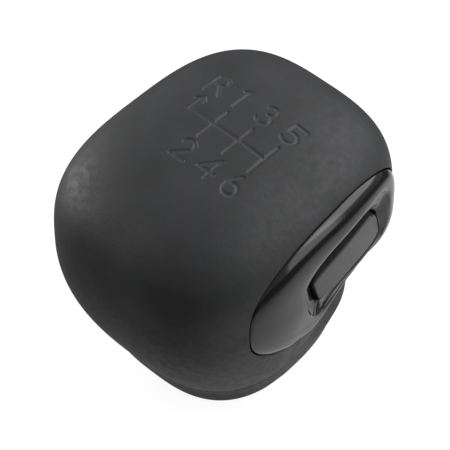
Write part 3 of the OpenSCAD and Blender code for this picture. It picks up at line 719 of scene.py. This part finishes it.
# the bezel's profile follows these rings from its rim over the lip and down to the button's hole;
# the cup's wall is steep at some places and gentle at others, and steepTop, steepFront and
# steepLow say where, each as a start and a run of the ring's sine or cosine
profile = {
    "points": 288, "steps": 7, "rimIn": 0.02, "rimRound": 0.45, "rimBack": 0.5,
    "rimDraft": 0.15,
    "lipShare": (0.01, 0.03, 0.07, 0.15, 0.3, 0.5, 0.72, 0.88, 0.96, 1),
    "lipRise": (-0.25, -0.05, 0.15, 0.42, 0.68, 0.72, 0.56, 0.34, 0.15, 0),
    "cupShare": (0.02, 0.05, 0.12, 0.3, 0.6, 0.85, 0.97),
    "steepDepth": (0.12, 0.35, 0.7, 0.92, 1, 1, 1),
    "steepRise": (0.5, 0.4, 0.3, 0.2, 0.0, -0.8, -1.3),
    "gentleDepth": (0.001, 0.007, 0.04, 0.216, 0.65, 0.94, 1),
    "gentleRise": (0, 0, 0, 0, 0, -0.1, -0.3),
    "steepTop": (-0.1, 0.6), "steepFront": (0.6, 0.3), "steepLow": (-0.3, 0.35),
    "holeTop": 1.6, "holeLand": 2.2, "holeWall": 1, "bossR": 2.3, "bossBore": 1.05,
    "bossUnder": 1.8,
}
# the pieces behind the bezel: where the core's outer face and the guide's front are
behind = {
    "coreIn": body["skin"] + 0.2, "coreWall": 2.4, "guideX": 21.97, "guideClear": 0.2,
    "seatGap": 0.05,
}
buttonHole = grown(buttonEdge, button["gap"])
faceMiddleZ = mix(buttonEdge[2], buttonEdge[4], 2 / 3)


def buttonFaceX(y, z):
    crown = button["crownR"] - np.sqrt(button["crownR"] ** 2 - (y - button["crownY"]) ** 2)
    return button["faceX"] - math.tan(math.radians(button["faceLean"])) * (z - faceMiddleZ) - crown


def onBody(edge, rise, inset=0.0):
    y, z = outline(edge, ringAngles(profile["points"]))
    return np.stack([sideX(y, z, inset) + rise, y, z], -1)


def inCup(edge, share, rise):
    y, z = outline(edge, ringAngles(profile["points"]))
    return np.stack([mix(sideX(y, z), buttonFaceX(y, z) + rise, share), y, z], -1)


def smoothRings(keys, steps):
    # more rings on a smooth curve through the key rings, spaced by their mean distance
    keys = np.asarray(keys)
    gaps = np.linalg.norm(np.diff(keys, axis=0), axis=2).mean(axis=1)
    u = np.concatenate([[0], np.cumsum(np.sqrt(gaps))])
    slope = np.gradient(keys, u, axis=0)
    rings = []
    for i in range(len(keys) - 1):
        d = u[i + 1] - u[i]
        for f in np.arange(steps) / steps:
            rings.append((2 * f ** 3 - 3 * f ** 2 + 1) * keys[i]
                         + (f ** 3 - 2 * f ** 2 + f) * d * slope[i]
                         + (3 * f ** 2 - 2 * f ** 3) * keys[i + 1]
                         + (f ** 3 - f ** 2) * d * slope[i + 1])
    return rings + [keys[-1]]


def tubeAlongX(x0, x1, y, z, outerR, innerR, edge=0.15, count=32):
    # a closed tube along X with small chamfers at its ends
    a = np.arange(count) * 2 * np.pi / count
    path = ((x0, outerR - edge), (x0 + edge, outerR), (x1 - edge, outerR), (x1, outerR - edge),
            (x1, innerR + edge), (x1 - edge, innerR), (x0 + edge, innerR), (x0, innerR + edge))
    rings = [np.stack([np.full(count, x), y + r * np.cos(a), z + r * np.sin(a)], -1)
             for x, r in path]
    return np.concatenate(rings), loopFaces(len(path), count)


def joinPieces(name, pieces):
    # one object from several closed shells
    bpy.ops.object.select_all(action="DESELECT")
    for piece in pieces:
        piece.select_set(True)
    bpy.context.view_layer.objects.active = pieces[0]
    bpy.ops.object.join()
    pieces[0].name = pieces[0].data.name = name
    return pieces[0]


def boxOf(node):
    # low corner, high corner and middle of a CAD node in millimetres
    low, high = np.array(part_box(node)) / mm
    return low, high, (low + high) / 2


def makeSideBezel():
    t = ringAngles(profile["points"])
    keys = [onBody(grown(bezelEdge, -profile["rimIn"]), -profile["rimRound"])]
    keys += [onBody(between(bezelEdge, cupEdge, f), rise)
             for f, rise in zip(profile["lipShare"], profile["lipRise"])]
    # steep under the upper lip and at the front end, gentle along the lower edge
    front = fade(-np.cos(t), *profile["steepFront"]) * fade(np.sin(t), *profile["steepLow"])
    steep = np.maximum(fade(np.sin(t), *profile["steepTop"]), front)
    for k, f in enumerate(profile["cupShare"]):
        depth = mix(profile["gentleDepth"][k], profile["steepDepth"][k], steep)
        rise = mix(profile["gentleRise"][k], profile["steepRise"][k], steep)
        keys.append(inCup(between(cupEdge, buttonHole, f), depth, rise))
    coreIn, rimBack, land = behind["coreIn"], profile["rimBack"], -profile["holeLand"]
    waist = grown(bezelEdge, -bezel["flange"] - bezel["gap"])
    back = [inCup(buttonHole, 1, land), inCup(grown(buttonHole, profile["holeWall"]), 1, land),
            onBody(waist, -behind["coreWall"] / 2, coreIn)]
    for ring in back:
        ring[:, 0] = np.maximum(ring[:, 0], behind["guideX"] + behind["guideClear"])
    rings = [onBody(grown(bezelEdge, -profile["rimDraft"]), rimBack, coreIn),
             *smoothRings(keys, profile["steps"]), inCup(buttonHole, 1, -profile["holeTop"]),
             *back, onBody(waist, rimBack, coreIn)]
    faces = loopFaces(len(rings), profile["points"])
    shells = [makeObject("sideBezelShell", np.concatenate(rings), faces)]
    for end in ("front", "rear"):
        y, z = boxOf("bezel_screw_" + end)[2][1:]
        tube = tubeAlongX(behind["guideX"] + behind["seatGap"],
                          float(sideX(y, z)) - profile["bossUnder"], y, z,
                          profile["bossR"], profile["bossBore"])
        shells.append(makeObject("boss", *tube))
    return joinPieces("sideBezel", shells)


sideBezel = makeSideBezel()
print("side bezel", len(sideBezel.data.polygons), "faces")

# under its cap the button has a wedge arm for the lifter and two pins for the springs
arm = {
    "y": (3.2, 7.6), "edge": 0.25,
    "outline": ((8, 24.62), (22.97, 24.62), (22.97, 31.82), (15.2, 31.82)),
}
pin = {"x": (21.07, 22.97), "inSpring": 1.0, "bore": 0.5}


def makeBar(corners, y0, y1, edge):
    # a closed bar with chamfered ends: an outline in X and Z, swept along Y
    corners = np.asarray(corners, float)
    middle = corners.mean(axis=0)
    small = middle + (corners - middle) * (1 - edge / np.abs(corners - middle).max())
    n = len(corners)
    rings = [np.stack([p[:, 0], np.full(n, y), p[:, 1]], -1)
             for p, y in ((small, y0), (corners, y0 + edge), (corners, y1 - edge), (small, y1))]
    faces = [f for k in range(3) for f in ringFaces(k * n, (k + 1) * n, n)]
    faces += [tuple(range(n))[::-1], tuple(range(3 * n, 4 * n))]
    return np.concatenate(rings), faces


def makeCap():
    n, r = button["points"], button["edge"]
    t = ringAngles(n)
    backX = button["faceX"] - button["capT"]
    skirtX = backX - button["skirtLength"]
    rings = []

    def add(edge, x, shrink=1.0):
        # x is a number, or a rule of y and z
        y, z = outline(edge, t)
        y, z = mix(y.mean(), y, shrink), mix(z.mean(), z, shrink)
        rings.append(np.stack([x(y, z) if callable(x) else np.full(n, x), y, z], -1))

    add(buttonEdge, skirtX)
    add(buttonEdge, backX)
    for angle in button["edgeAngles"]:
        s, c = math.sin(math.radians(angle)), math.cos(math.radians(angle))
        add(grown(buttonEdge, -r * (1 - c)), lambda y, z: buttonFaceX(y, z) - r * (1 - s))
    for shrink in button["faceShares"]:
        add(grown(buttonEdge, -r), buttonFaceX, shrink)
    inside = len(rings)
    for shrink in button["insideShares"]:
        add(grown(buttonEdge, -button["skirtT"]), backX, shrink)
    add(grown(buttonEdge, -button["skirtT"]), skirtX)
    faces = loopFaces(len(rings), n, inside - 1)
    points = np.concatenate(rings)
    for k, flip in ((inside - 1, False), (inside, True)):
        # a fan closes the middle of each face
        hub = len(points)
        points = np.concatenate([points, points[k * n:(k + 1) * n].mean(axis=0)[None]])
        fan = [(k * n + i, k * n + (i + 1) % n, hub) for i in range(n)]
        faces += [f[::-1] for f in fan] if flip else fan
    return points, faces


def makeReleaseButton():
    parts = [makeObject("cap", *makeCap()),
             makeObject("arm", *makeBar(arm["outline"], *arm["y"], arm["edge"]))]
    for end in ("front", "rear"):
        low, high, middle = boxOf("button_spring_" + end)
        pinR = (high[1] - low[1]) / 2 - pin["inSpring"]
        parts.append(makeObject("pin", *tubeAlongX(*pin["x"], *middle[1:], pinR, pin["bore"])))
    return joinPieces("releaseButton", parts)


releaseButton = makeReleaseButton()
print("release button", len(releaseButton.data.polygons), "faces")


def newMaterial(name):
    # the surface shader and the place it is asked for, in the piece's own metres
    material = bpy.data.materials.new(name)
    tree = nodeTree(material)
    shader = addNode(tree, "ShaderNodeBsdfPrincipled")
    addNode(tree, "ShaderNodeOutputMaterial", shader.outputs[0])
    place = addNode(tree, "ShaderNodeTexCoord").outputs["Object"]
    return material, tree, shader, place


def addAttribute(tree, name, output):
    node = addNode(tree, "ShaderNodeAttribute")
    node.attribute_name = name
    return node.outputs[output]


def addNoise(tree, vector, size, detail=2.0):
    # a noise whose blobs are about the given size in millimetres
    return addNode(tree, "ShaderNodeTexNoise", Vector=vector, Scale=1 / (size * mm),
                   Detail=detail).outputs[0]


def addBump(tree, bumps, micrometres, normal=None):
    return addNode(tree, "ShaderNodeBump", Height=bumps, Distance=micrometres * 1e-6,
                   Strength=1.0, Normal=normal).outputs[0]


# colours are linear, sizes in millimetres, heights of bumps in micrometres
skinFinish = {
    "dark": (0.031, 0.032, 0.0335), "light": (0.042, 0.043, 0.046), "patch": 9,
    "roughness": (0.52, 0.66), "sheenPatch": 1.6, "specular": 0.42,
    "grain": 0.42, "grainHeight": 26, "pore": 0.13, "poreHeight": 9,
    "lineAcross": 0.75, "lineAlong": 9, "lineHeight": 55, "lineReach": (1.0, 15.0),
    # the groove floors get a lighter colour: a painted highlight in the grooves, while their
    # smaller roughness is real
    "grooveHighlightColour": (0.066, 0.068, 0.072), "grooveHighlightShare": 0.8, "pressedSheen": 0.12,
}


def makeSoftSkin():
    finish = skinFinish
    material, tree, shader, place = newMaterial("softSkin")
    # the pressed floor of the pattern is smoother than the grain round it, and its colour is
    # painted lighter: a painted highlight that lifts the shade in the grooves
    pressed = addAttribute(tree, "pressed", "Fac")
    tone = addColours(tree, addNoise(tree, place, finish["patch"], 3), finish["dark"],
                      finish["light"])
    toneAndGrooveHighlight = addNode(tree, "ShaderNodeMixRGB", times(tree, pressed, finish["grooveHighlightShare"]), tone,
                    finish["grooveHighlightColour"] + (1,))
    sheen = addRange(tree, addNoise(tree, place, finish["sheenPatch"], 3), *noiseSpan,
                     *finish["roughness"])
    roughness = minus(tree, sheen, times(tree, pressed, finish["pressedSheen"]))
    # pebble grain and pores
    cells = addNode(tree, "ShaderNodeTexVoronoi", Vector=place, Scale=1 / (finish["grain"] * mm))
    cells.feature = "SMOOTH_F1"
    normal = addBump(tree, cells.outputs["Distance"], -finish["grainHeight"])
    normal = addBump(tree, addNoise(tree, place, finish["pore"]), finish["poreHeight"], normal)
    # fine stretch lines run away from the bezel and fade out
    stretch = addAttribute(tree, "stretch", "Vector")
    squeeze = (1 / finish["lineAcross"], 1 / finish["lineAlong"], 1)
    squeezed = addNode(tree, "ShaderNodeVectorMath", stretch, squeeze, operation="MULTIPLY")
    lines = addNode(tree, "ShaderNodeTexNoise", Vector=squeezed.outputs[0], Scale=1.0, Detail=1.0)
    away = addNode(tree, "ShaderNodeSeparateXYZ", stretch).outputs["Y"]
    fading = times(tree, lines.outputs[0], addRange(tree, away, *finish["lineReach"], 1.0, 0.0))
    normal = addBump(tree, fading, finish["lineHeight"], normal)
    setInputs(tree, shader, Base_Color=toneAndGrooveHighlight.outputs[0], Roughness=roughness, Normal=normal,
              Specular_IOR_Level=finish["specular"])
    return material


# the other finishes: two tones in patches, an uneven sheen and a grain, which brush stretches
finishSettings = {
    "glossBlack": {"tones": ((0.010, 0.010, 0.0105), (0.015, 0.015, 0.016)), "patch": 14,
                   "roughness": (0.12, 0.17), "grain": 1.2, "height": 1.2},
    "satinBlack": {"tones": ((0.036, 0.037, 0.04), (0.046, 0.047, 0.051)), "patch": 5,
                   "roughness": (0.3, 0.38), "grain": 0.12, "height": 3},
    "coreBlack": {"tones": ((0.022, 0.022, 0.024), (0.034, 0.034, 0.036)), "patch": 6,
                  "roughness": (0.5, 0.65), "grain": 0.3, "height": 14},
    "glassFilled": {"tones": ((0.04, 0.041, 0.045), (0.062, 0.063, 0.068)), "patch": 3,
                    "roughness": (0.42, 0.6), "grain": 0.22, "height": 12},
    "naturalAcetal": {"tones": ((0.5, 0.48, 0.42), (0.6, 0.58, 0.52)), "patch": 5,
                      "roughness": (0.3, 0.42), "grain": 0.4, "height": 5},
    "drawnWire": {"tones": ((0.42, 0.42, 0.44), (0.58, 0.58, 0.6)), "patch": 1.5,
                  "roughness": (0.2, 0.34), "grain": 0.15, "height": 3, "metallic": 1.0},
    "turnedSteel": {"tones": ((0.38, 0.39, 0.41), (0.52, 0.53, 0.55)), "patch": 4,
                    "roughness": (0.24, 0.38), "grain": 0.3, "height": 5, "metallic": 1.0,
                    "brush": (1, 1, 14)},
    "mattRubber": {"tones": ((0.012, 0.012, 0.012), (0.022, 0.022, 0.022)), "patch": 3,
                   "roughness": (0.7, 0.85), "grain": 0.18, "height": 16},
    "yellowZinc": {"tones": ((0.5, 0.4, 0.2), (0.62, 0.58, 0.42)), "patch": 1.2,
                   "roughness": (0.22, 0.4), "grain": 0.25, "height": 3, "metallic": 1.0},
}
cadFinishes = {
    "core_upper": "coreBlack", "core_lower": "coreBlack", "base_plate": "coreBlack",
    "button_guide": "glassFilled", "lever_socket": "glassFilled",
    "lifter": "naturalAcetal", "lever_clip": "drawnWire", "lever_bush": "turnedSteel",
    "stop_buffer": "mattRubber", "anti_rattle_ring": "mattRubber",
}


def makeFinish(name, tones, patch, roughness, grain, height, metallic=0.0, brush=None):
    material, tree, shader, place = newMaterial(name)
    colour = addColours(tree, addNoise(tree, place, patch, 3), *tones)
    sheen = addRange(tree, addNoise(tree, place, patch / 4, 3), *noiseSpan, *roughness)
    if brush:
        place = addNode(tree, "ShaderNodeMapping", Vector=place, Scale=brush).outputs[0]
    normal = addBump(tree, addNoise(tree, place, grain), height)
    setInputs(tree, shader, Base_Color=colour, Roughness=sheen, Metallic=metallic, Normal=normal)
    return material


finishes = {name: makeFinish(name, **settings) for name, settings in finishSettings.items()}
for node, finish in cadFinishes.items():
    for holder in bpy.data.objects[node].material_slots:
        holder.material = finishes[finish]


def newTree(name, sizes):
    # a geometry tree with one named input for each size
    tree = bpy.data.node_groups.new(name, "GeometryNodeTree")
    addSocket = tree.interface.new_socket
    addSocket("Geometry", in_out="INPUT", socket_type="NodeSocketGeometry")
    for key, value in sizes.items():
        kind = "NodeSocketInt" if isinstance(value, int) else "NodeSocketFloat"
        addSocket(key, in_out="INPUT", socket_type=kind).default_value = value
    addSocket("Geometry", in_out="OUTPUT", socket_type="NodeSocketGeometry")
    return tree, addNode(tree, "NodeGroupInput").outputs


def endTree(tree, geometry, material):
    whole = addNode(tree, "GeometryNodeRealizeInstances", geometry)
    dressed = addNode(tree, "GeometryNodeSetMaterial", Geometry=whole.outputs[0],
                      Material=material)
    addNode(tree, "NodeGroupOutput", dressed.outputs[0])


def grow(name, tree, sizes, matrix):
    # runs a tree once and keeps its mesh, moved to its place
    piece = newObject(name, bpy.data.meshes.new(name + "Start"))
    modifier = piece.modifiers.new(name, "NODES")
    modifier.node_group = tree
    for item in tree.interface.items_tree:
        if item.in_out == "INPUT" and item.name in sizes:
            modifier[item.identifier] = sizes[item.name]
    ready = piece.evaluated_get(bpy.context.evaluated_depsgraph_get())
    mesh = bpy.data.meshes.new_from_object(ready)
    piece.modifiers.remove(modifier)
    piece.data = mesh
    mesh.transform(matrix)
    return piece


alongX = Matrix.Rotation(math.pi / 2, 4, "Y")
toMetres = Matrix.Scale(mm, 4)
# millimetres and turns
springSizes = {"Turns": 4.0, "Radius": 2.0, "Length": 7.6, "Wire": 0.7, "End turns": 0.9}
springTurns = {"button_spring_front": 4.0, "button_spring_rear": 4.0, "lifter_spring": 6.0}


def makeSpringTree():
    # a coil that rises evenly between two closed end turns
    tree, size = newTree("coilSpring", springSizes)
    wire = size["Wire"]
    spiral = addNode(tree, "GeometryNodeCurveSpiral", Resolution=36, Rotations=size["Turns"],
                     Start_Radius=size["Radius"], End_Radius=size["Radius"], Height=0.0)
    factor = addNode(tree, "GeometryNodeSplineParameter").outputs["Factor"]
    share = over(tree, size["End turns"], size["Turns"])
    rest = minus(tree, 1.0, share)
    # each closed end lifts the coil by one wire, and the free turns by what is left
    closed = plus(tree, addRange(tree, factor, 0.0, share), addRange(tree, factor, rest, 1.0))
    free = minus(tree, size["Length"], times(tree, wire, 3.0))
    rise = plus(tree, times(tree, addRange(tree, factor, share, rest), free),
                times(tree, plus(tree, closed, 0.5), wire))
    lift = addNode(tree, "ShaderNodeCombineXYZ", Z=rise)
    placed = addNode(tree, "GeometryNodeSetPosition", Geometry=spiral.outputs[0],
                     Offset=lift.outputs[0])
    ring = addNode(tree, "GeometryNodeCurvePrimitiveCircle", Resolution=14,
                   Radius=times(tree, wire, 0.5))
    tube = addNode(tree, "GeometryNodeCurveToMesh", Curve=placed.outputs[0],
                   Profile_Curve=ring.outputs[0], Fill_Caps=True)
    smooth = addNode(tree, "GeometryNodeSetShadeSmooth", tube.outputs[0])
    endTree(tree, smooth.outputs[0], finishes["drawnWire"])
    return tree


def makeSpring(tree, node):
    # the coil fills the box of the plain one it takes the place of
    low, high, middle = boxOf(node)
    upright = node == "lifter_spring"
    axis = 2 if upright else 0
    foot = Vector(middle)
    foot[axis] = low[axis]
    sizes = {**springSizes, "Turns": springTurns[node], "Length": float(high[axis] - low[axis]),
             "Radius": float(high[1] - low[1]) / 2 - springSizes["Wire"] / 2}
    turn = Matrix.Identity(4) if upright else alongX
    return grow(node + "Coil", tree, sizes, toMetres @ Matrix.Translation(foot) @ turn)


springTree = makeSpringTree()
buttonSprings = joinPieces("buttonSprings", [makeSpring(springTree, "button_spring_" + end)
                                             for end in ("front", "rear")])
lifterSpring = makeSpring(springTree, "lifter_spring")
print("springs", len(buttonSprings.data.polygons), len(lifterSpring.data.polygons), "faces")

# millimetres; the screws of the base first, then what the bezel's two have otherwise
screwSizes = {
    "Head radius": 2.4, "Head height": 1.0, "Shank radius": 1.3, "Length": 8.0,
    "Pitch": 0.8, "Thread": 0.22, "Recess radius": 1.2, "Tip": 1.3, "Count": 1,
    "Across": 0.0, "Along": 0.0,
}
bezelScrewSizes = {
    "Head height": 1.2, "Shank radius": 1.0, "Pitch": 0.7, "Thread": 0.18,
    "Recess radius": 0.9,
}
# shares of the head's height, and of the head's and the shank's radius
screwShares = {"chamferDown": -0.33, "shankInHead": 0.3, "chamferIn": 0.93, "tipRadius": 0.45}


def makeScrewTree():
    # a chamfered head with a hexagonal recess and a shank whose radius follows the thread's rule
    tree, size = newTree("screw", screwSizes)
    headHeight, shankRadius = size["Head height"], size["Shank radius"]
    place = addNode(tree, "GeometryNodeInputPosition").outputs[0]
    x, y, z = addNode(tree, "ShaderNodeSeparateXYZ", place).outputs

    def cylinder(radius, depth, **counts):
        return addNode(tree, "GeometryNodeMeshCylinder", Radius=radius, Depth=depth,
                       **counts).outputs["Mesh"]

    def scaled(geometry, factor):
        flat = addNode(tree, "ShaderNodeCombineXYZ", times(tree, x, factor),
                       times(tree, y, factor), z)
        return addNode(tree, "GeometryNodeSetPosition", Geometry=geometry,
                       Position=flat.outputs[0]).outputs[0]

    def lifted(geometry, distance):
        up = addNode(tree, "ShaderNodeCombineXYZ", Z=distance)
        return addNode(tree, "GeometryNodeTransform", Geometry=geometry,
                       Translation=up.outputs[0]).outputs[0]

    down = times(tree, headHeight, -0.5)
    chamferEnd = times(tree, headHeight, screwShares["chamferDown"])
    chamfer = addRange(tree, z, down, chamferEnd, screwShares["chamferIn"], 1.0)
    head = scaled(cylinder(size["Head radius"], headHeight, Vertices=64, Side_Segments=6), chamfer)
    recess = lifted(cylinder(size["Recess radius"], headHeight, Vertices=6), down)
    cutHead = addNode(tree, "GeometryNodeMeshBoolean", Mesh_1=head, Mesh_2=recess)
    # the shank starts a little inside the head
    inside = times(tree, headHeight, screwShares["shankInHead"])
    whole = plus(tree, size["Length"], inside)
    end = times(tree, whole, 0.5)
    turn = over(tree, addMath(tree, "ARCTAN2", y, x), 2 * math.pi)
    wave = addMath(tree, "PINGPONG", minus(tree, over(tree, z, size["Pitch"]), turn), 0.5)
    valley = times(tree, times(tree, wave, 2.0), over(tree, size["Thread"], shankRadius))
    taper = addRange(tree, z, minus(tree, end, size["Tip"]), end, 1.0, screwShares["tipRadius"])
    shank = scaled(cylinder(shankRadius, whole, Vertices=40, Side_Segments=120),
                   times(tree, minus(tree, 1.0, valley), taper))
    smooth = addNode(tree, "GeometryNodeSetShadeSmooth", lifted(shank, minus(tree, end, inside)))
    screw = addNode(tree, "GeometryNodeJoinGeometry")
    for part in (lifted(cutHead.outputs[0], down), smooth.outputs[0]):
        tree.links.new(part, screw.inputs[0])
    # the screws stand on the corners of a rectangle
    index = addNode(tree, "GeometryNodeInputIndex").outputs[0]
    column = minus(tree, addMath(tree, "MODULO", index, 2.0), 0.5)
    row = minus(tree, addMath(tree, "FLOOR", over(tree, index, 2.0)), 0.5)
    spot = addNode(tree, "ShaderNodeCombineXYZ", times(tree, column, size["Across"]),
                   times(tree, row, size["Along"]))
    points = addNode(tree, "GeometryNodePoints", Count=size["Count"], Position=spot.outputs[0])
    copies = addNode(tree, "GeometryNodeInstanceOnPoints", Points=points.outputs[0],
                     Instance=screw.outputs[0])
    endTree(tree, copies.outputs[0], finishes["yellowZinc"])
    return tree


baseScrews = ["base_screw_%d" % (i + 1) for i in range(4)]


def makeScrews():
    tree = makeScrewTree()
    lows, highs, middles = (np.array(part) for part in zip(*map(boxOf, baseScrews)))
    headHeight = screwSizes["Head height"]
    x, y, _ = middles.mean(axis=0)
    sizes = {**screwSizes, "Count": 4, "Across": float(np.ptp(middles[:, 0])),
             "Along": float(np.ptp(middles[:, 1])),
             "Length": float(highs[0][2] - lows[0][2]) - headHeight}
    foot = Matrix.Translation((x, y, lows[0][2] + headHeight))
    pieces = [grow("baseScrews", tree, sizes, toMetres @ foot)]
    headHeight = bezelScrewSizes["Head height"]
    for end in ("front", "rear"):
        low, high, middle = boxOf("bezel_screw_" + end)
        sizes = {**screwSizes, **bezelScrewSizes, "Head radius": float(high[1] - low[1]) / 2,
                 "Length": float(high[0] - low[0]) - headHeight}
        foot = Matrix.Translation((low[0] + headHeight, *middle[1:]))
        pieces.append(grow("bezelScrew", tree, sizes, toMetres @ foot @ alongX))
    return joinPieces("screws", pieces)


screws = makeScrews()
print("screws", len(screws.data.polygons), "faces")


def dress(piece, material, ride, slot, *nodes):
    piece.data.materials.clear()
    piece.data.materials.append(material)
    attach(piece, ride)
    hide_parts(*nodes)


dress(gripSkin, makeSoftSkin(), "knob", "soft_skin", "grip_skin")
dress(sideBezel, finishes["glossBlack"], "knob", "gloss_black", "side_bezel")
dress(releaseButton, finishes["satinBlack"], "button", "button_black", "release_button")
dress(buttonSprings, finishes["drawnWire"], "knob", "spring_steel", "button_spring_front",
      "button_spring_rear")
dress(lifterSpring, finishes["drawnWire"], "knob", "spring_steel", "lifter_spring")
dress(screws, finishes["yellowZinc"], "knob", "screw_steel", *baseScrews, "bezel_screw_front",
      "bezel_screw_rear")
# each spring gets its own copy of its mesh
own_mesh(buttonSprings)
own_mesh(lifterSpring)
print("finishes done")
